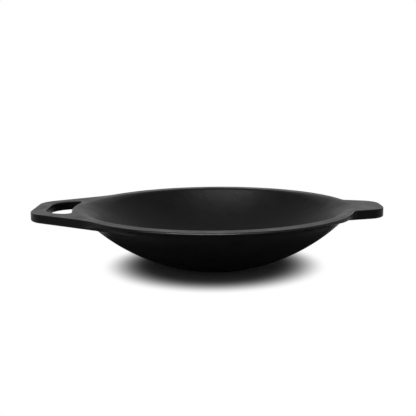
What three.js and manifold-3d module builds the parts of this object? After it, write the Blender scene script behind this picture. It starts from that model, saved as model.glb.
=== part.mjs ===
// A shallow cast-iron bowl pan with a flat rim, a loop handle and a short helper handle.
// Millimetres, +Z up. The origin is the middle of the flat base, on the bowl's axis.
// The loop handle points along -X and the helper handle along +X.
import * as THREE from "three";
import { mergeVertices } from "three/addons/utils/BufferGeometryUtils.js";
import Module from "manifold-3d";

// Bowl and rim
const BOWL_RADIUS = 162.3; // sphere that the outside of the wall follows
const BASE_RADIUS = 40; // flat bottom
const BASE_THICKNESS = 5;
const RIM_RADIUS = 125; // outer edge of the rim
const RIM_THICKNESS = 3.8;
const RIM_OVERHANG = 5.4; // how far the rim stands out past the wall below it
const RIM_WIDTH = 11.5; // from the rim's outer edge in to the mouth, before its edge is rounded
const LIP_RADIUS = 7; // rounding of the mouth's edge

// Loop handle
const LOOP_REACH = 37.7; // from the rim's edge to the tip
const LOOP_TIP_WIDTH = 62; // across the tip, before its corners are rounded
const LOOP_CORNER_RADIUS = 25;
const LOOP_THICKNESS = 8;
const LOOP_ROOT_RADIUS = 90; // sweep from the handle's side into the rim
const GRIP_WIDTH = 12.1; // bar between the finger hole and the tip
const HOLE_WIDTH = 68; // across the finger hole, before its corners are rounded
const HOLE_CORNER_RADIUS = 22; // at the grip bar
const HOLE_ROOT_RADIUS = 8.5; // at the rim
const HOLE_WEB = 3; // between the rim's edge and the finger hole

// Helper handle
const HELPER_REACH = 25.5; // from the rim's edge to the tip
const HELPER_TIP_WIDTH = 43.5; // across the tip, before its corners are rounded
const HELPER_ROOT_WIDTH = 61; // where its sides cross the rim
const HELPER_CORNER_RADIUS = 18;
const HELPER_THICKNESS = 8.6;
const HELPER_ROOT_RADIUS = 6; // sweep from the handle's side into the rim

const EDGE_RADIUS = 1; // rounded edges of both handles
const JOINT_GAP = 0.3; // between a handle and the rim and wall that carry it

// Smoothness
const TURN_STEPS = 96; // facets round the bowl
const WALL_STEPS = 10; // facets up each side of the wall
const LIP_STEPS = 5;
const THROAT_STEPS = 2; // from the lip down to the wall
const EDGE_STEPS = 2;
const CORNER_STEPS = 9;
const MERGE_DISTANCE = 1e-4;

const wasm = await Module();
wasm.setup();

// Heights and radii that follow from the driving dimensions
const neckRadius = RIM_RADIUS - RIM_OVERHANG;
const mouthRadius = RIM_RADIUS - RIM_WIDTH;
const loopTipX = RIM_RADIUS + LOOP_REACH;
const helperTipX = RIM_RADIUS + HELPER_REACH;
const bowlCentreZ = Math.sqrt(BOWL_RADIUS ** 2 - BASE_RADIUS ** 2);
const rimBottomZ = bowlCentreZ - Math.sqrt(BOWL_RADIUS ** 2 - neckRadius ** 2);
const rimTopZ = rimBottomZ + RIM_THICKNESS;
const inside = sphereThrough(BASE_RADIUS, BASE_THICKNESS, mouthRadius, rimTopZ);
const seatRadius = Math.sqrt(inside.radius ** 2 - (inside.z - rimBottomZ) ** 2);

// The sphere on the bowl's axis that passes through two rings, given as radius and height.
function sphereThrough(lowRadius, lowZ, highRadius, highZ) {
  const squares = highRadius ** 2 + highZ ** 2 - lowRadius ** 2 - lowZ ** 2;
  const z = squares / (2 * (highZ - lowZ));
  return { z, radius: Math.hypot(lowRadius, z - lowZ) };
}

// Points up the lower half of a sphere on the axis, between two distances from the axis.
function spherePoints(centreZ, radius, fromRadius, toRadius, steps) {
  const from = Math.asin(fromRadius / radius);
  const to = Math.asin(toRadius / radius);
  const points = [];
  for (let step = 0; step <= steps; step += 1) {
    const angle = from + ((to - from) * step) / steps;
    points.push(new THREE.Vector2(radius * Math.sin(angle), centreZ - radius * Math.cos(angle)));
  }
  return points;
}

// A ring of revolution about Z, from a closed profile of radius and height.
function turned(profile) {
  const closed = [...profile, profile[0].clone()];
  return new THREE.LatheGeometry(closed, TURN_STEPS).rotateX(Math.PI / 2);
}

// A round disc or column about Z between two heights.
function column(radius, lowZ, highZ) {
  const geometry = new THREE.CylinderGeometry(radius, radius, highZ - lowZ, TURN_STEPS);
  return geometry.rotateX(Math.PI / 2).translate(0, 0, (lowZ + highZ) / 2);
}

function solidOf(geometry) {
  const bare = geometry.clone();
  bare.deleteAttribute("normal");
  bare.deleteAttribute("uv");
  const merged = mergeVertices(bare, MERGE_DISTANCE);
  const vertProperties = new Float32Array(merged.getAttribute("position").array);
  const triVerts = new Uint32Array(merged.getIndex().array);
  return new wasm.Manifold(new wasm.Mesh({ numProp: 3, vertProperties, triVerts }));
}

function geometryOf(solid) {
  const { vertProperties, triVerts } = solid.getMesh();
  const geometry = new THREE.BufferGeometry();
  geometry.setAttribute("position", new THREE.BufferAttribute(new Float32Array(vertProperties), 3));
  geometry.setIndex(new THREE.BufferAttribute(new Uint32Array(triVerts), 1));
  geometry.computeVertexNormals();
  return geometry;
}

function base() {
  return column(BASE_RADIUS, 0, BASE_THICKNESS);
}

function bowlWall() {
  const outer = spherePoints(bowlCentreZ, BOWL_RADIUS, BASE_RADIUS, neckRadius, WALL_STEPS);
  const inner = spherePoints(inside.z, inside.radius, BASE_RADIUS, seatRadius, WALL_STEPS);
  return turned([...outer, ...inner.reverse()]);
}

// The rim sits on the wall's flat top edge, and its mouth is rounded over into the bowl.
function rim() {
  const lipZ = rimTopZ - LIP_RADIUS;
  const lipReach = inside.radius + LIP_RADIUS;
  const lipX = Math.sqrt(lipReach ** 2 - (inside.z - lipZ) ** 2);
  const meetRadius = (lipX * inside.radius) / lipReach;
  const lipAngle = Math.atan2(inside.z - lipZ, lipX);
  const profile = [
    new THREE.Vector2(seatRadius, rimBottomZ),
    new THREE.Vector2(RIM_RADIUS, rimBottomZ),
    new THREE.Vector2(RIM_RADIUS, rimTopZ),
  ];
  for (let step = 0; step <= LIP_STEPS; step += 1) {
    const angle = Math.PI / 2 + ((Math.PI / 2 - lipAngle) * step) / LIP_STEPS;
    const x = lipX + LIP_RADIUS * Math.cos(angle);
    profile.push(new THREE.Vector2(x, lipZ + LIP_RADIUS * Math.sin(angle)));
  }
  const throat = spherePoints(inside.z, inside.radius, seatRadius, meetRadius, THROAT_STEPS);
  profile.push(...throat.slice(1, -1).reverse());
  return turned(profile);
}

// Side of a handle that points along +X: a corner at the tip, and where the side meets the bowl.
function sideOf(tip, root) {
  const inward = root.clone().sub(tip).normalize();
  return { tip, root, inward, flare: Math.atan2(inward.y, -inward.x) };
}

// The loop handle's sides run on until they touch the wall, level with the handle's underside.
function loopSide() {
  const wallDrop = bowlCentreZ - (rimTopZ - LOOP_THICKNESS);
  const wallRadius = Math.sqrt(BOWL_RADIUS ** 2 - wallDrop ** 2);
  const tip = new THREE.Vector2(loopTipX, LOOP_TIP_WIDTH / 2);
  const touchAngle = tip.angle() + Math.acos(wallRadius / tip.length());
  const root = new THREE.Vector2(Math.cos(touchAngle), Math.sin(touchAngle)).multiplyScalar(wallRadius);
  return sideOf(tip, root);
}

// The helper handle's sides run straight through the rim and on into the wall.
function helperSide() {
  const halfRoot = HELPER_ROOT_WIDTH / 2;
  const crossing = new THREE.Vector2(Math.sqrt(RIM_RADIUS ** 2 - halfRoot ** 2), halfRoot);
  const tip = new THREE.Vector2(helperTipX, HELPER_TIP_WIDTH / 2);
  const inward = crossing.clone().sub(tip).normalize();
  const root = crossing.clone().addScaledVector(inward, RIM_OVERHANG + HELPER_THICKNESS);
  return sideOf(tip, root);
}

// Plan of a handle: straight sides, a straight tip and rounded corners.
function handleOutline(side, cornerRadius) {
  const turn = Math.PI / 2 - side.flare;
  const cornerX = side.tip.x - cornerRadius;
  const cornerY = side.tip.y - cornerRadius * Math.tan(turn / 2);
  const outline = new THREE.Shape();
  outline.moveTo(0, -side.root.y);
  outline.lineTo(side.root.x, -side.root.y);
  outline.absarc(cornerX, -cornerY, cornerRadius, -turn, 0);
  outline.absarc(cornerX, cornerY, cornerRadius, 0, turn);
  outline.lineTo(side.root.x, side.root.y);
  outline.lineTo(0, side.root.y);
  return outline;
}

// The finger hole runs round the rim on its inner side and has rounded corners.
function fingerHole() {
  const halfWidth = HOLE_WIDTH / 2;
  const nearRadius = RIM_RADIUS + HOLE_WEB;
  const gripX = loopTipX - GRIP_WIDTH;
  const cornerRadius = Math.min(HOLE_CORNER_RADIUS, halfWidth, gripX - nearRadius);
  const corner = new THREE.Vector2(gripX - cornerRadius, halfWidth - cornerRadius);
  const rootRadius = Math.min(HOLE_ROOT_RADIUS, cornerRadius / 2);
  const { root, meetAngle } = holeRoot(corner, cornerRadius, rootRadius, nearRadius);
  const rimAngle = root.angle();
  const hole = new THREE.Path();
  hole.absarc(0, 0, nearRadius, -rimAngle, rimAngle);
  hole.absarc(root.x, root.y, rootRadius, Math.PI + rimAngle, meetAngle, true);
  hole.absarc(corner.x, corner.y, cornerRadius, meetAngle, 0, true);
  hole.absarc(corner.x, -corner.y, cornerRadius, 0, -meetAngle, true);
  hole.absarc(root.x, -root.y, rootRadius, -meetAngle, -Math.PI - rimAngle, true);
  return hole;
}

// Centre of the hole's corner at the rim, and the angle at which it runs on towards the grip:
// along a straight side if the hole is deep enough, or else straight into the corner at the grip.
function holeRoot(corner, cornerRadius, rootRadius, nearRadius) {
  const rootReach = nearRadius + rootRadius;
  const sideY = corner.y + cornerRadius - rootRadius;
  const sideX = Math.sqrt(rootReach ** 2 - sideY ** 2);
  if (sideX < corner.x) {
    return { root: new THREE.Vector2(sideX, sideY), meetAngle: Math.PI / 2 };
  }
  const apart = cornerRadius - rootRadius;
  const along = (rootReach ** 2 - apart ** 2 + corner.lengthSq()) / (2 * corner.length());
  const rimAngle = corner.angle() + Math.acos(along / rootReach);
  const root = new THREE.Vector2(Math.cos(rimAngle), Math.sin(rimAngle)).multiplyScalar(rootReach);
  return { root, meetAngle: root.clone().sub(corner).angle() };
}

// A plate with rounded edges whose top is level with the rim's top.
function plate(outline, thickness) {
  const geometry = new THREE.ExtrudeGeometry(outline, {
    depth: thickness - 2 * EDGE_RADIUS,
    curveSegments: CORNER_STEPS,
    bevelSegments: EDGE_STEPS,
    bevelThickness: EDGE_RADIUS,
    bevelSize: EDGE_RADIUS,
    bevelOffset: -EDGE_RADIUS,
  });
  return solidOf(geometry.translate(0, 0, rimTopZ - thickness + EDGE_RADIUS));
}

// Plan of a web that sweeps from a handle's side into the rim, drawn on to a point inside the bowl.
// half is 1 for the web on the +Y side and -1 for the one on the -Y side.
function rootWeb(side, radius, half) {
  const outward = new THREE.Vector2(side.inward.y, -side.inward.x);
  const start = side.tip.clone().addScaledVector(outward, radius);
  const along = start.dot(side.inward);
  const squares = along ** 2 - start.lengthSq() + (RIM_RADIUS + radius) ** 2;
  const centre = start.clone().addScaledVector(side.inward, -along - Math.sqrt(squares));
  const fromAngle = half * outward.clone().negate().angle();
  const toAngle = half * centre.clone().negate().angle();
  const web = new THREE.Shape();
  web.absarc(centre.x, half * centre.y, radius, fromAngle, toAngle, half > 0);
  web.lineTo(side.root.x / 2, (half * side.root.y) / 2);
  return web;
}

// Both webs of a handle, as thick as the rim.
function rootWebs(side, radius) {
  const shapes = [rootWeb(side, radius, 1), rootWeb(side, radius, -1)];
  const options = { depth: RIM_THICKNESS, bevelEnabled: false, curveSegments: CORNER_STEPS };
  return solidOf(new THREE.ExtrudeGeometry(shapes, options).translate(0, 0, rimBottomZ));
}

// Cuts away what the rim and the wall fill, with a gap, and keeps what lies outside them.
function fittedToPan(solid) {
  const gapWall = spherePoints(
    bowlCentreZ,
    BOWL_RADIUS + JOINT_GAP,
    0,
    Math.sqrt((BOWL_RADIUS + JOINT_GAP) ** 2 - (bowlCentreZ - rimTopZ) ** 2),
    2 * WALL_STEPS,
  );
  gapWall.push(new THREE.Vector2(0, rimTopZ));
  const wall = solidOf(new THREE.LatheGeometry(gapWall, TURN_STEPS).rotateX(Math.PI / 2));
  const ring = solidOf(column(RIM_RADIUS + JOINT_GAP, rimBottomZ - JOINT_GAP, rimTopZ + JOINT_GAP));
  return solid.subtract(wall).subtract(ring);
}

function loopHandle() {
  const side = loopSide();
  const outline = handleOutline(side, LOOP_CORNER_RADIUS);
  outline.holes.push(fingerHole());
  const solid = plate(outline, LOOP_THICKNESS).add(rootWebs(side, LOOP_ROOT_RADIUS));
  return geometryOf(fittedToPan(solid)).rotateZ(Math.PI);
}

function helperHandle() {
  const side = helperSide();
  const outline = handleOutline(side, HELPER_CORNER_RADIUS);
  const solid = plate(outline, HELPER_THICKNESS).add(rootWebs(side, HELPER_ROOT_RADIUS));
  return geometryOf(fittedToPan(solid));
}

const iron = new THREE.MeshStandardMaterial({ color: 0x17181a, roughness: 0.55, metalness: 0.3 });

const pan = new THREE.Group();
const pieces = {
  base: base(),
  bowl_wall: bowlWall(),
  rim: rim(),
  loop_handle: loopHandle(),
  helper_handle: helperHandle(),
};
for (const [name, geometry] of Object.entries(pieces)) {
  const mesh = new THREE.Mesh(geometry, iron);
  mesh.name = name;
  pan.add(mesh);
}

export default pan;
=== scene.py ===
"""A seasoned cast-iron bowl pan on a white studio floor.

The pan is one casting, so its look is one skin. A distance function describes the whole casting with its
fillets and rounded edges, the skin is meshed from it on a grid of radius, angle and height, and the mesh is
then cut into the pieces that stand for the CAD nodes. Metres, +Z up, in the frame of the CAD model.
"""
import math

import bmesh
import bpy
import numpy as np
from mathutils import Matrix, Vector


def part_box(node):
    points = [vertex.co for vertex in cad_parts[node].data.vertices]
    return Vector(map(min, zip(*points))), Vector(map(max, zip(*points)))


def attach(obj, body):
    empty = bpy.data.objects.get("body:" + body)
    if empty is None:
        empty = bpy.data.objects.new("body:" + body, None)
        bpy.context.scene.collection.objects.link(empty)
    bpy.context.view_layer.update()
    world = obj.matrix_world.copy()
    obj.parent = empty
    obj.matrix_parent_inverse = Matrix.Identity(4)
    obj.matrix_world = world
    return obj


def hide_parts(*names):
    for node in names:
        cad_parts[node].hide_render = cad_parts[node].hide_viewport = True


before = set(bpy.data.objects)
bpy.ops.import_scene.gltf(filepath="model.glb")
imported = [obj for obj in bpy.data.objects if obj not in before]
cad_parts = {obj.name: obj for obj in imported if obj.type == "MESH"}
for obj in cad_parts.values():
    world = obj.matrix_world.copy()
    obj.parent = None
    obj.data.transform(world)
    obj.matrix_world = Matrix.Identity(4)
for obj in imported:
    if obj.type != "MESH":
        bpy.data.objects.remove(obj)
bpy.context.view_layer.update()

# Sizes that the frame gives
base_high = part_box("base")[1]
wall_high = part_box("bowl_wall")[1]
rim_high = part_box("rim")[1]
loop_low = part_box("loop_handle")[0]
helper_low, helper_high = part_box("helper_handle")
BASE_RADIUS = base_high.y
FLOOR_Z = base_high.z
NECK_RADIUS = wall_high.y
RIM_RADIUS = rim_high.y
RIM_BOTTOM_Z = wall_high.z
RIM_TOP_Z = rim_high.z
LOOP_TIP_X = -loop_low.x
LOOP_BOTTOM_Z = loop_low.z
HELPER_TIP_X = helper_high.x
HELPER_BOTTOM_Z = helper_low.z

# Plan of the rim and the handles
RIM_WIDTH = 0.0115
LOOP_TIP_WIDTH = 0.062
LOOP_CORNER_RADIUS = 0.025
LOOP_WEB_RADIUS = 0.09
GRIP_WIDTH = 0.0121
HOLE_WIDTH = 0.068
HOLE_CORNER_RADIUS = 0.022
HOLE_ROOT_RADIUS = 0.0085
HOLE_WEB = 0.003
HELPER_TIP_WIDTH = 0.0435
HELPER_ROOT_WIDTH = 0.061
HELPER_CORNER_RADIUS = 0.018
HELPER_WEB_RADIUS = 0.006

# Lean of the handles' webs back under the rim, which starts slowly over the ease
WEB_LEAN = 0.8
WEB_EASE = 0.002

# Rounded edges of the casting
TOP_EDGE = 0.0004
RIM_LOWER_EDGE = 0.0003
HANDLE_LOWER_EDGE = 0.0015
HOLE_EDGE = 0.0011
BASE_EDGE = 0.0008
FLOOR_BLEND = 0.003

# Lip between the rim's top and the bowl's inside, which widens towards the handles
LIP_BLEND = 0.0015
HANDLE_LIP_BLEND = 0.009
LIP_WIDENING_POWER = 6

# Fillet between the wall and the plates, which runs out above the rim's underside at the fade's slope
WALL_FILLET = 0.002
FILLET_FADE = 3

# Height of the rim's undercut edge, and the cosines of the angle to a handle between which the undercut ends
RIM_EDGE_HEIGHT = 0.0014
LOOP_FULL_RIM = (0.42, 0.74)
HELPER_FULL_RIM = (0.7, 0.86)

# Step in the front of the rim's edge, which leaves a ridge of casting seam below it
STEP_DEPTH = 0.0008
STEP_DROP = 0.00055
STEP_MIDDLE = math.radians(-94)
STEP_SPAN = math.radians(20)
STEP_FADE = math.radians(6)

# Grid that the skin is meshed on
RADIUS_AXIS = 0
ANGLE_AXIS = 1
GRID_MARGIN = 0.002
HEART_RADIUS = 0.004
BOWL_STEP = 0.004
FINE_STEP = 0.0008
EDGE_STEP = 0.00025
FINEST_STEP = 0.00012
PLAIN_TURN = math.radians(1)
HANDLE_TURN = math.radians(0.4)
LOOP_SECTOR = math.radians(46)
HELPER_SECTOR = math.radians(20)

# Lower than the wall is thick, so that no cell of the grid holds both of its surfaces
BOWL_HEIGHT_STEP = 0.002

# Moving the skin onto the true surface, and measuring its worn edges
AXES = np.eye(3)
PROJECTION_ROUNDS = 8
SLOPE_STEP = 0.00001
WEAR_REACH = 0.0006

# Cuts between the skin's pieces, measured from the neck and from the lower end of the wall's fillet
LOOP_CUT_OUTSIDE = 0.001
HELPER_CUT_INSIDE = 0.001
RIM_CUT_BELOW = 0.0003

# Seasoned iron: noises as scale, detail and roughness, bumps as depth and strength
BLOTCH_NOISE = (55, 4, 0.6)
GRAIN_NOISE = (420, 3, 0.6)
SWELL_NOISE = (110, 2, 0.5)
SWELL_BUMP = (0.0008, 0.25)
GRAIN_BUMP = (0.0003, 0.35)
OIL_DARK = (0.002, 0.002, 0.0021, 1)
OIL_PALE = (0.004, 0.004, 0.004, 1)
# Paler colour of the worn top edges, which is also painted on the slope under the step in the rim's edge as
# a highlight
WORN_AND_HIGHLIGHT_COLOUR = (0.05, 0.049, 0.048, 1)
WEAR_AND_HIGHLIGHT_START = 0.2
WEAR_AND_HIGHLIGHT_SHARE = 0.6
BLOTCH_RANGE = (0.3, 0.7)
OIL_ROUGHNESS = (0.32, 0.43)
WORN_ROUGHNESS = 0.15
IRON_SPECULAR = 0.045

# Studio: a white floor that keeps the shadow near the pan, a dim world and one softbox above
FLOOR_SIDE = 8
FLOOR_COLOUR = (0.9, 0.9, 0.9, 1)
FLOOR_ROUGHNESS = 0.9
BACKDROP_START = 0.25
BACKDROP_END = 0.5
SHADOW_CENTRE = (-0.001, -0.009, 0)
SHADOW_CORE = 0.045
SHADOW_END = 0.102
SHADOW_FADE_POWER = 3
WORLD_COLOUR = (1, 1, 1, 1)
WORLD_LIGHT = 0.08
SOFTBOX_PLACE = Vector((-0.10, -0.24, 1.0))
SOFTBOX_WIDTH = 0.62
SOFTBOX_DEPTH = 0.28
SOFTBOX_POWER = 14

# Camera, as fitted to the photo, with lengths of the image in pixels and the sensor in millimetres
IMAGE_SIDE = 416
FOCAL_PIXELS = 789.4
CAMERA_DISTANCE = 0.7155
CAMERA_AZIMUTH = math.radians(-0.4)
CAMERA_ELEVATION = math.radians(9.459)
CAMERA_ROLL = math.radians(-0.385)
AXIS_PIXEL = (214.89, 205.95)
SENSOR_WIDTH = 36


def round_join(first, second, radius):
    """Distance to two shapes joined with a fillet."""
    near = np.hypot(np.maximum(radius - first, 0), np.maximum(radius - second, 0))
    return np.maximum(radius, np.minimum(first, second)) - near


def round_overlap(first, second, radius):
    """Distance to what two shapes share, with a rounded edge."""
    near = np.hypot(np.maximum(radius + first, 0), np.maximum(radius + second, 0))
    return np.minimum(-radius, np.maximum(first, second)) + near


def eased(value, low, high):
    """Rises smoothly from 0 at the low value to 1 at the high one."""
    share = np.clip((value - low) / (high - low), 0, 1)
    return share * share * (3 - 2 * share)


class Ball:
    """Sphere on the pan's axis through two rings, each given as a radius and a height."""

    def __init__(self, low_radius, low_z, high_radius, high_z):
        squares = high_radius**2 + high_z**2 - low_radius**2 - low_z**2
        self.z = squares / (2 * (high_z - low_z))
        self.radius = math.hypot(low_radius, self.z - low_z)

    def distance(self, from_axis, z):
        return np.hypot(from_axis, z - self.z) - self.radius

    def radius_at(self, z):
        return math.sqrt(self.radius**2 - (z - self.z) ** 2)


class Side:
    """Straight side of a handle in plan, from the tip's corner to where it runs into the bowl."""

    def __init__(self, tip, root):
        self.tip = tip
        self.root = root
        self.inward = (root - tip).normalized()
        self.outward = Vector((self.inward.y, -self.inward.x))
        self.turn = math.atan2(self.outward.y, self.outward.x)


outside_ball = Ball(BASE_RADIUS, 0, NECK_RADIUS, RIM_BOTTOM_Z)
inside_ball = Ball(BASE_RADIUS, FLOOR_Z, RIM_RADIUS - RIM_WIDTH, RIM_TOP_Z)


def loop_side():
    """The loop handle's side touches the wall level with the handle's underside."""
    wall_radius = outside_ball.radius_at(LOOP_BOTTOM_Z)
    tip = Vector((LOOP_TIP_X, LOOP_TIP_WIDTH / 2))
    touch = math.atan2(tip.y, tip.x) + math.acos(wall_radius / tip.length)
    return Side(tip, Vector((math.cos(touch), math.sin(touch))) * wall_radius)


def helper_side():
    """The helper handle's side crosses the rim and runs on into the wall."""
    tip = Vector((HELPER_TIP_X, HELPER_TIP_WIDTH / 2))
    half_root = HELPER_ROOT_WIDTH / 2
    crossing = Vector((math.sqrt(RIM_RADIUS**2 - half_root**2), half_root))
    overlap = RIM_TOP_Z - HELPER_BOTTOM_Z + RIM_RADIUS - NECK_RADIUS
    return Side(tip, crossing + (crossing - tip).normalized() * overlap)


LOOP_SIDE = loop_side()
HELPER_SIDE = helper_side()


def handle_plan(u, v, side, corner_radius):
    """Plan distance to a handle along +u with straight sides, a straight tip and rounded corners."""
    across = np.abs(v)
    past_side = (u - side.tip.x) * side.outward.x + (across - side.tip.y) * side.outward.y
    straight = np.maximum(np.maximum(past_side, u - side.tip.x), side.root.x - u)
    corner_u = u - side.tip.x + corner_radius
    corner_v = across - side.tip.y + corner_radius * math.tan(side.turn / 2)
    in_corner = (corner_v > 0) & (corner_u * side.outward.y > corner_v * side.outward.x)
    return np.where(in_corner, np.hypot(corner_u, corner_v) - corner_radius, straight)


def with_webs(plan, u, v, side, web_radius, drop):
    """Adds the round webs that sweep from a handle's sides into the rim.

    Below the rim, by the drop, a web leans back under it, steeper towards its end on the rim.
    """
    start = side.tip + side.outward * web_radius
    along = start.dot(side.inward)
    squares = along**2 - start.length_squared + (RIM_RADIUS + web_radius) ** 2
    centre = start - side.inward * (along + math.sqrt(squares))
    to_side = -side.outward
    to_rim = -centre.normalized()
    way = to_side.x * to_rim.y - to_side.y * to_rim.x
    from_u = u - centre.x
    from_v = np.abs(v) - centre.y
    reach = np.hypot(from_u, from_v)
    to_go = (from_u * to_rim.y - from_v * to_rim.x) / np.maximum(reach, SLOPE_STEP) / way
    past_side = (to_side.x * from_v - to_side.y * from_u) * way > 0
    in_web = past_side & (to_go > 0) & (reach < 2 * web_radius)
    lean = WEB_LEAN * (1 / np.clip(to_go, SLOPE_STEP, 1) - 1)
    return np.where(in_web, np.minimum(plan, web_radius - reach + lean * drop), plan)


def finger_hole_plan(u, v, from_axis):
    """Plan distance to the finger hole, whose inner side runs round the rim."""
    grip_x = LOOP_TIP_X - GRIP_WIDTH
    outer = round_overlap(np.abs(v) - HOLE_WIDTH / 2, u - grip_x, HOLE_CORNER_RADIUS)
    hole = round_overlap(outer, RIM_RADIUS + HOLE_WEB - from_axis, HOLE_ROOT_RADIUS)
    return np.maximum(hole, -u)


def step_stretch(x, y):
    """1 along the step in the front of the rim's edge, fading to 0 at its ends."""
    from_middle = np.abs(np.arctan2(y, x) - STEP_MIDDLE)
    return np.clip((STEP_SPAN + STEP_FADE - from_middle) / STEP_FADE, 0, 1)


def step_depth(x, y, z):
    """How far the rim's edge steps back near the top, with a slope out to the ridge below."""
    drop = RIM_TOP_Z - z - STEP_DROP
    return np.clip(STEP_DEPTH - drop, 0, STEP_DEPTH) * step_stretch(x, y)


def rim_underside(x, from_axis, z):
    """Distance below the cone from the rim's thin edge in to the neck, which is flat near the handles."""
    towards = x / np.maximum(from_axis, SLOPE_STEP)
    full = np.maximum(eased(-towards, *LOOP_FULL_RIM), eased(towards, *HELPER_FULL_RIM))
    rise = (RIM_TOP_Z - RIM_BOTTOM_Z - RIM_EDGE_HEIGHT) * (1 - full)
    tilt = np.arctan2(rise, RIM_RADIUS - NECK_RADIUS)
    inside = np.minimum(from_axis - RIM_RADIUS, 0)
    cone = inside * np.sin(tilt) - (z - RIM_BOTTOM_Z - rise) * np.cos(tilt)
    return np.maximum(cone, LOOP_BOTTOM_Z - z)


def rim_distance(x, y, z, from_axis, drop):
    """Distance to the rim with its step and its undercut edge, and with the handles' webs."""
    plan = from_axis - RIM_RADIUS + step_depth(x, y, z)
    plan = with_webs(plan, -x, y, LOOP_SIDE, LOOP_WEB_RADIUS, drop)
    plan = with_webs(plan, x, y, HELPER_SIDE, HELPER_WEB_RADIUS, drop)
    return round_overlap(plan, rim_underside(x, from_axis, z), RIM_LOWER_EDGE)


def loop_distance(x, y, z, drop):
    """Distance to the loop handle's plate, before the finger hole is cut."""
    plan = handle_plan(-x, y, LOOP_SIDE, LOOP_CORNER_RADIUS)
    plan = with_webs(plan, -x, y, LOOP_SIDE, LOOP_WEB_RADIUS, drop)
    return round_overlap(plan, LOOP_BOTTOM_Z - z, HANDLE_LOWER_EDGE)


def helper_distance(x, y, z, drop):
    """Distance to the helper handle's plate."""
    plan = handle_plan(x, y, HELPER_SIDE, HELPER_CORNER_RADIUS)
    plan = with_webs(plan, x, y, HELPER_SIDE, HELPER_WEB_RADIUS, drop)
    return round_overlap(plan, HELPER_BOTTOM_Z - z, HANDLE_LOWER_EDGE)


def plates_distance(x, y, z, from_axis):
    """Distance to the rim and both handles, which have no top yet."""
    below_rim = np.maximum(RIM_BOTTOM_Z - z, 0)
    drop = below_rim**2 / (below_rim + WEB_EASE)
    handles = np.minimum(loop_distance(x, y, z, drop), helper_distance(x, y, z, drop))
    return np.minimum(rim_distance(x, y, z, from_axis, drop), handles)


def bowl_distance(from_axis, z):
    """Distance to the bowl's outside, filled, up to the rim's underside."""
    ball = round_overlap(outside_ball.distance(from_axis, z), -z, BASE_EDGE)
    return np.maximum(ball, FILLET_FADE * (z - RIM_BOTTOM_Z))


def upper_distance(x, from_axis, z):
    """Distance to what lies below the pan's top and outside the bowl's hollow, with the lip between them."""
    hollow = round_overlap(inside_ball.distance(from_axis, z), FLOOR_Z - z, FLOOR_BLEND)
    towards_handle = (x / np.maximum(from_axis, SLOPE_STEP)) ** LIP_WIDENING_POWER
    lip_blend = LIP_BLEND + (HANDLE_LIP_BLEND - LIP_BLEND) * towards_handle
    return round_overlap(z - RIM_TOP_Z, -hollow, lip_blend)


def pan_distance(points):
    """Distance of points from the casting's surface, below 0 in the iron."""
    x, y, z = points.T
    from_axis = np.hypot(x, y)
    plates = plates_distance(x, y, z, from_axis)
    body = round_join(bowl_distance(from_axis, z), plates, WALL_FILLET)
    pan = round_overlap(body, upper_distance(x, from_axis, z), TOP_EDGE)
    return round_overlap(pan, -finger_hole_plan(-x, y, from_axis), HOLE_EDGE)


def pan_slope(points):
    """Gradient of the distance at each point."""
    columns = []
    for shift in AXES * SLOPE_STEP:
        columns.append((pan_distance(points + shift) - pan_distance(points - shift)) / (2 * SLOPE_STEP))
    return np.stack(columns, axis=-1)


def worn_edges_and_highlight(points):
    """How much each point is worn or carries the painted highlight, from 0 to 1: worn sharp edges near the
    top, and a painted highlight on the slope from the step down to the ridge on the rim's edge.
    """
    x, y, z = points.T
    bend = -2 * len(AXES) * pan_distance(points)
    for shift in AXES * WEAR_REACH:
        bend += pan_distance(points + shift) + pan_distance(points - shift)
    drop = RIM_TOP_Z - z
    near_edge = np.abs(np.hypot(x, y) - RIM_RADIUS) < 2 * STEP_DEPTH
    # The slope from the step down to the ridge is marked in full as a painted highlight, not as wear
    painted_highlight_slope = near_edge & (drop > STEP_DROP) & (drop < RIM_EDGE_HEIGHT)
    worn = np.where(drop < RIM_EDGE_HEIGHT, bend / WEAR_REACH, 0)
    return np.clip(np.maximum(worn, painted_highlight_slope * step_stretch(x, y)), 0, 1)


def stepped(stops, steps):
    """Grid lines from the first stop to the last, with a step for each stretch between stops."""
    lines = [stops[:1]]
    for low, high, step in zip(stops, stops[1:], steps):
        count = max(1, round((high - low) / step))
        lines.append(np.linspace(low, high, count + 1)[1:])
    return np.concatenate(lines)


def grid_lines():
    """Radii, angles and heights of the grid, closer together at the edges and round the handles."""
    radii = stepped(
        [HEART_RADIUS, inside_ball.radius_at(LOOP_BOTTOM_Z), NECK_RADIUS, RIM_RADIUS - 2 * STEP_DEPTH]
        + [RIM_RADIUS + STEP_DEPTH, LOOP_TIP_X, LOOP_TIP_X + GRID_MARGIN],
        [BOWL_STEP, FINE_STEP, EDGE_STEP, FINEST_STEP, FINE_STEP, EDGE_STEP],
    )
    angles = stepped(
        [-HELPER_SECTOR, HELPER_SECTOR, math.pi - LOOP_SECTOR, math.pi + LOOP_SECTOR]
        + [2 * math.pi - HELPER_SECTOR],
        [HANDLE_TURN, PLAIN_TURN, HANDLE_TURN, PLAIN_TURN],
    )
    heights = stepped(
        [-GRID_MARGIN / 2, HELPER_BOTTOM_Z - GRID_MARGIN, RIM_BOTTOM_Z - FINE_STEP]
        + [RIM_TOP_Z - RIM_EDGE_HEIGHT - STEP_DEPTH, RIM_TOP_Z + GRID_MARGIN],
        [BOWL_HEIGHT_STEP, FINE_STEP, EDGE_STEP, FINEST_STEP],
    )
    return radii, angles[:-1], heights


def grid_nodes():
    """Points of the grid, by radius, angle and height."""
    radius, angle, height = np.meshgrid(*grid_lines(), indexing="ij")
    return np.stack([radius * np.cos(angle), radius * np.sin(angle), height], axis=-1)


def crossed_edges(inside, axis):
    """Nodes whose next node along an axis lies on the other side of the surface. Only angles run round."""
    crosses = inside != np.roll(inside, -1, axis)
    if axis != ANGLE_AXIS:
        np.moveaxis(crosses, axis, 0)[-1] = False
    return np.argwhere(crosses)


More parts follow.
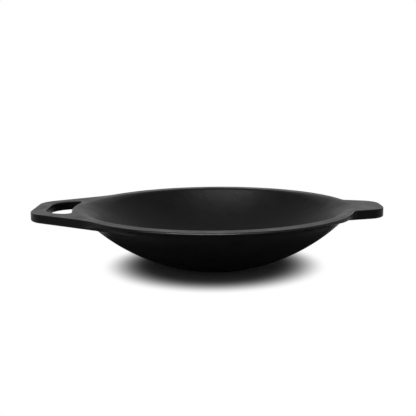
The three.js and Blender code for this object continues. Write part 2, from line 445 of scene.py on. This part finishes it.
def crossing_points(nodes, field, start, axis):
    """Points at which the surface crosses the grid's edges."""
    place = tuple(start.T)
    ahead = np.roll(field, -1, axis)[place]
    share = (field[place] / (field[place] - ahead))[:, None]
    return nodes[place] + share * (np.roll(nodes, -1, axis)[place] - nodes[place])


def cells_around(start, axis, shape):
    """Numbers of the four cells round each edge, with -1 for a cell inside the grid's heart."""
    first, second = [other for other in range(3) if other != axis]
    around = []
    for step in ((-1, -1), (0, -1), (0, 0), (-1, 0)):
        cell = start.copy()
        cell[:, first] += step[0]
        cell[:, second] += step[1]
        cell[:, ANGLE_AXIS] %= shape[ANGLE_AXIS]
        number = np.ravel_multi_index(np.maximum(cell, 0).T, shape)
        around.append(np.where(cell[:, RADIUS_AXIS] < 0, -1, number))
    return np.stack(around, axis=-1)


def skin_cells():
    """Corner points and quads of the skin: one corner for each grid cell that the surface crosses."""
    nodes = grid_nodes()
    shape = nodes.shape[:-1]
    field = pan_distance(nodes.reshape(-1, 3)).reshape(shape)
    inside = field < 0
    sums = np.zeros((field.size, 3))
    counts = np.zeros(field.size)
    quads = []
    for axis in range(3):
        start = crossed_edges(inside, axis)
        points = crossing_points(nodes, field, start, axis)
        around = cells_around(start, axis, shape)
        for cells in around.T:
            real = cells >= 0
            np.add.at(sums, cells[real], points[real])
            np.add.at(counts, cells[real], 1)
        outward = inside[tuple(start.T)] ^ (axis == ANGLE_AXIS)
        turned = np.where(outward[:, None], around, around[:, ::-1])
        quads.append(turned[(around >= 0).all(axis=1)])
    used = counts > 0
    number = np.cumsum(used) - 1
    return sums[used] / counts[used][:, None], number[np.concatenate(quads)]


def skin_mesh():
    """Closed mesh of the whole casting, with its corners moved onto the true surface."""
    corners, quads = skin_cells()
    for _ in range(PROJECTION_ROUNDS):
        slope = pan_slope(corners)
        corners -= (pan_distance(corners) / (slope**2).sum(axis=1))[:, None] * slope
    mesh = bpy.data.meshes.new("casting")
    mesh.from_pydata(corners.tolist(), [], quads.tolist())
    work = bmesh.new()
    work.from_mesh(mesh)
    bmesh.ops.holes_fill(work, edges=[edge for edge in work.edges if edge.is_boundary], sides=0)
    work.to_mesh(mesh)
    work.free()
    return mesh


def cut_mesh(casting, name, planes):
    """Closed mesh of the part of the casting that lies behind the given planes."""
    work = bmesh.new()
    work.from_mesh(casting)
    for point, away in planes:
        geometry = work.verts[:] + work.edges[:] + work.faces[:]
        cut = bmesh.ops.bisect_plane(
            work, geom=geometry, plane_co=point, plane_no=away, clear_outer=True
        )
        edges = [part for part in cut["geom_cut"] if isinstance(part, bmesh.types.BMEdge)]
        bmesh.ops.triangle_fill(work, use_beauty=True, edges=edges, normal=away)
    for face in work.faces:
        face.smooth = True
    mesh = bpy.data.meshes.new(name)
    work.to_mesh(mesh)
    work.free()
    return mesh


def normals_wear_and_highlight(mesh):
    """Gives a mesh the true surface's normals, and marks how worn its corners are and where the painted
    highlight on the rim's step lies.
    """
    corners = np.empty(len(mesh.vertices) * 3)
    mesh.vertices.foreach_get("co", corners)
    corners = corners.reshape(-1, 3)
    slope = pan_slope(corners)
    mesh.normals_split_custom_set_from_vertices(slope / np.linalg.norm(slope, axis=1)[:, None])
    # Worn edges and the painted highlight on the slope under the rim's step
    wear_and_highlight = mesh.attributes.new("wear_and_highlight", "FLOAT", "POINT")
    wear_and_highlight.data.foreach_set("value", worn_edges_and_highlight(corners).astype(np.float32))


def cut_piece(casting, material, name, planes, nodes):
    """A closed piece of the casting behind the given planes, which stands for CAD nodes."""
    mesh = cut_mesh(casting, name, planes)
    normals_wear_and_highlight(mesh)
    mesh.materials.append(material)
    piece = bpy.data.objects.new(name, mesh)
    bpy.context.collection.objects.link(piece)
    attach(piece, "root")
    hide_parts(*nodes)


def add_pan():
    """The casting's skin, cut into the pieces that stand for the CAD nodes."""
    casting = skin_mesh()
    iron = iron_material()
    right = Vector((1, 0, 0))
    up = Vector((0, 0, 1))
    loop_cut = right * (-NECK_RADIUS - LOOP_CUT_OUTSIDE)
    helper_cut = right * (NECK_RADIUS - HELPER_CUT_INSIDE)
    rim_cut = up * (RIM_BOTTOM_Z - WALL_FILLET - RIM_CUT_BELOW)
    between = [(loop_cut, -right), (helper_cut, right)]
    cut_piece(casting, iron, "loop_handle_skin", [(loop_cut, right)], ["loop_handle"])
    cut_piece(casting, iron, "helper_handle_skin", [(helper_cut, -right)], ["helper_handle"])
    cut_piece(casting, iron, "rim_skin", [*between, (rim_cut, -up)], ["rim"])
    cut_piece(casting, iron, "bowl_skin", [*between, (rim_cut, up)], ["bowl_wall", "base"])
    bpy.data.meshes.remove(casting)


def add_node(tree, kind, **settings):
    """A new shader node with the given settings."""
    node = tree.nodes.new(kind)
    for key, value in settings.items():
        setattr(node, key, value)
    return node


def feed(tree, value, entry):
    """Links an output to an input, or sets a constant on the input."""
    if isinstance(value, bpy.types.NodeSocket):
        tree.links.new(value, entry)
    else:
        entry.default_value = value


def calculated(tree, operation, first, second):
    """Result of a math node on two values."""
    node = add_node(tree, "ShaderNodeMath", operation=operation)
    feed(tree, first, node.inputs[0])
    feed(tree, second, node.inputs[1])
    return node.outputs["Value"]


def noise(tree, place, scale, detail, rough):
    """Noise from 0 to 1 at a place."""
    node = add_node(tree, "ShaderNodeTexNoise")
    node.inputs["Scale"].default_value = scale
    node.inputs["Detail"].default_value = detail
    node.inputs["Roughness"].default_value = rough
    tree.links.new(place, node.inputs["Vector"])
    return node.outputs["Fac"]


def ranged(tree, value, from_low, from_high, to_low, to_high, ease="LINEAR"):
    """A value moved from one range to another."""
    node = add_node(tree, "ShaderNodeMapRange", interpolation_type=ease)
    for name, number in (
        ("From Min", from_low),
        ("From Max", from_high),
        ("To Min", to_low),
        ("To Max", to_high),
    ):
        node.inputs[name].default_value = number
    tree.links.new(value, node.inputs["Value"])
    return node.outputs["Result"]


def colour_socket(sockets, name):
    """The colour socket of that name: a mix node has one of each name for every type of data."""
    return next(entry for entry in sockets if entry.name == name and entry.type == "RGBA")


def mixed_colour(tree, share, low, high):
    """A colour between two others."""
    node = add_node(tree, "ShaderNodeMix", data_type="RGBA")
    feed(tree, low, colour_socket(node.inputs, "A"))
    feed(tree, high, colour_socket(node.inputs, "B"))
    tree.links.new(share, node.inputs["Factor"])
    return colour_socket(node.outputs, "Result")


def bumped(tree, height, distance, strength, below=None):
    """A normal bumped by a height, on top of another bump where one is given."""
    node = add_node(tree, "ShaderNodeBump")
    node.inputs["Distance"].default_value = distance
    node.inputs["Strength"].default_value = strength
    tree.links.new(height, node.inputs["Height"])
    if below is not None:
        tree.links.new(below, node.inputs["Normal"])
    return node.outputs["Normal"]


def iron_material():
    """Seasoned cast iron: black satin with a cast grain, blotches in the seasoning, paler worn edges and a
    painted highlight on the slope under the step in the rim's edge.
    """
    material = bpy.data.materials.new("seasoned_iron")
    material.use_nodes = True
    tree = material.node_tree
    shader = tree.nodes["Principled BSDF"]
    place = add_node(tree, "ShaderNodeTexCoord").outputs["Object"]
    blotches = noise(tree, place, *BLOTCH_NOISE)
    wear_and_highlight = add_node(tree, "ShaderNodeAttribute", attribute_name="wear_and_highlight").outputs["Fac"]
    oiled = mixed_colour(tree, blotches, OIL_DARK, OIL_PALE)
    # Paler colour on worn edges, and as a painted highlight on the slope under the rim's step
    worn_and_highlight_share = ranged(tree, wear_and_highlight, WEAR_AND_HIGHLIGHT_START, 1, 0, WEAR_AND_HIGHLIGHT_SHARE)
    tree.links.new(mixed_colour(tree, worn_and_highlight_share, oiled, WORN_AND_HIGHLIGHT_COLOUR), shader.inputs["Base Color"])
    polish = add_node(tree, "ShaderNodeMix")
    polish.inputs["B"].default_value = WORN_ROUGHNESS
    tree.links.new(wear_and_highlight, polish.inputs["Factor"])
    tree.links.new(ranged(tree, blotches, *BLOTCH_RANGE, *OIL_ROUGHNESS), polish.inputs["A"])
    tree.links.new(polish.outputs["Result"], shader.inputs["Roughness"])
    shader.inputs["Specular IOR Level"].default_value = IRON_SPECULAR
    swells = bumped(tree, noise(tree, place, *SWELL_NOISE), *SWELL_BUMP)
    grain = bumped(tree, noise(tree, place, *GRAIN_NOISE), *GRAIN_BUMP, swells)
    tree.links.new(grain, shader.inputs["Normal"])
    return material


def background_rays(tree):
    """1 for rays that show the background: camera, glossy and transmission rays."""
    rays = add_node(tree, "ShaderNodeLightPath")
    total = rays.outputs["Is Camera Ray"]
    for name in ("Is Glossy Ray", "Is Transmission Ray"):
        total = calculated(tree, "MAXIMUM", total, rays.outputs[name])
    return total


def distance_from(tree, place, centre):
    """Distance of a place from a centre."""
    node = add_node(tree, "ShaderNodeVectorMath", operation="DISTANCE")
    tree.links.new(place, node.inputs[0])
    node.inputs[1].default_value = centre
    return node.outputs["Value"]


def backdrop_share(tree, place):
    """How far the floor has run out into the white background."""
    far = ranged(tree, distance_from(tree, place, (0, 0, 0)), BACKDROP_START, BACKDROP_END, 0, 1)
    return calculated(tree, "MULTIPLY", far, background_rays(tree))


def shadow_fade(tree, place):
    """How far the shadow under the pan has faded to white, for the camera alone."""
    from_shadow = distance_from(tree, place, SHADOW_CENTRE)
    near = ranged(tree, from_shadow, SHADOW_CORE, SHADOW_END, 0, 1, "SMOOTHSTEP")
    fade = calculated(tree, "POWER", near, SHADOW_FADE_POWER)
    camera_ray = add_node(tree, "ShaderNodeLightPath").outputs["Is Camera Ray"]
    return calculated(tree, "MULTIPLY", fade, camera_ray)


def floor_material():
    """White floor that shows the pan's shadow and runs out into a white background."""
    material = bpy.data.materials.new("white_floor")
    material.use_nodes = True
    tree = material.node_tree
    shader = tree.nodes["Principled BSDF"]
    shader.inputs["Base Color"].default_value = FLOOR_COLOUR
    shader.inputs["Roughness"].default_value = FLOOR_ROUGHNESS
    shader.inputs["Specular IOR Level"].default_value = 0
    place = add_node(tree, "ShaderNodeTexCoord").outputs["Object"]
    white_share = calculated(tree, "MAXIMUM", backdrop_share(tree, place), shadow_fade(tree, place))
    white = add_node(tree, "ShaderNodeEmission")
    blend = add_node(tree, "ShaderNodeMixShader")
    tree.links.new(white_share, blend.inputs["Fac"])
    tree.links.new(shader.outputs["BSDF"], blend.inputs[1])
    tree.links.new(white.outputs["Emission"], blend.inputs[2])
    tree.links.new(blend.outputs["Shader"], tree.nodes["Material Output"].inputs["Surface"])
    return material


def add_floor():
    """Floor that the pan stands on, wide enough to fill every view."""
    bpy.ops.mesh.primitive_plane_add(size=FLOOR_SIDE)
    floor = bpy.context.object
    floor.name = "studio_floor"
    floor.data.materials.append(floor_material())


def add_world():
    """World that lights the pan dimly and shows as white behind it."""
    world = bpy.data.worlds.new("studio")
    world.use_nodes = True
    tree = world.node_tree
    light = tree.nodes["Background"]
    light.inputs["Color"].default_value = WORLD_COLOUR
    tree.links.new(ranged(tree, background_rays(tree), 0, 1, WORLD_LIGHT, 1), light.inputs["Strength"])
    bpy.context.scene.world = world


def add_softbox():
    """Softbox above the pan, turned towards the middle of its base."""
    data = bpy.data.lights.new("overhead_softbox", "AREA")
    data.shape = "RECTANGLE"
    data.size = SOFTBOX_WIDTH
    data.size_y = SOFTBOX_DEPTH
    data.energy = SOFTBOX_POWER
    lamp = bpy.data.objects.new("overhead_softbox", data)
    lamp.location = SOFTBOX_PLACE
    lamp.rotation_euler = (-SOFTBOX_PLACE).to_track_quat("-Z", "Y").to_euler()
    bpy.context.collection.objects.link(lamp)


def add_camera():
    """Camera that looks past the rim's centre, so that it falls on its pixel of the photo."""
    centre = Vector((0, 0, RIM_TOP_Z))
    back = Vector((
        math.sin(CAMERA_AZIMUTH) * math.cos(CAMERA_ELEVATION),
        -math.cos(CAMERA_AZIMUTH) * math.cos(CAMERA_ELEVATION),
        math.sin(CAMERA_ELEVATION),
    ))
    level = Vector((math.cos(CAMERA_AZIMUTH), math.sin(CAMERA_AZIMUTH), 0))
    right = math.cos(CAMERA_ROLL) * level + math.sin(CAMERA_ROLL) * back.cross(level)
    up = back.cross(right)
    scale = CAMERA_DISTANCE / FOCAL_PIXELS
    offset_right = (AXIS_PIXEL[0] - IMAGE_SIDE / 2) * scale
    offset_up = (IMAGE_SIDE / 2 - AXIS_PIXEL[1]) * scale
    place = centre + back * CAMERA_DISTANCE
    facing = (place - (centre - right * offset_right - up * offset_up)).normalized()
    right = up.cross(facing).normalized()
    up = facing.cross(right)
    data = bpy.data.cameras.new("camera")
    data.sensor_width = SENSOR_WIDTH
    data.lens = FOCAL_PIXELS * SENSOR_WIDTH / IMAGE_SIDE
    camera = bpy.data.objects.new("camera", data)
    camera.matrix_world = Matrix.Translation(place) @ Matrix((right, up, facing)).transposed().to_4x4()
    bpy.context.collection.objects.link(camera)
    bpy.context.scene.camera = camera


add_pan()
add_floor()
add_world()
add_softbox()
add_camera()
bpy.context.scene.view_settings.view_transform = "Standard"
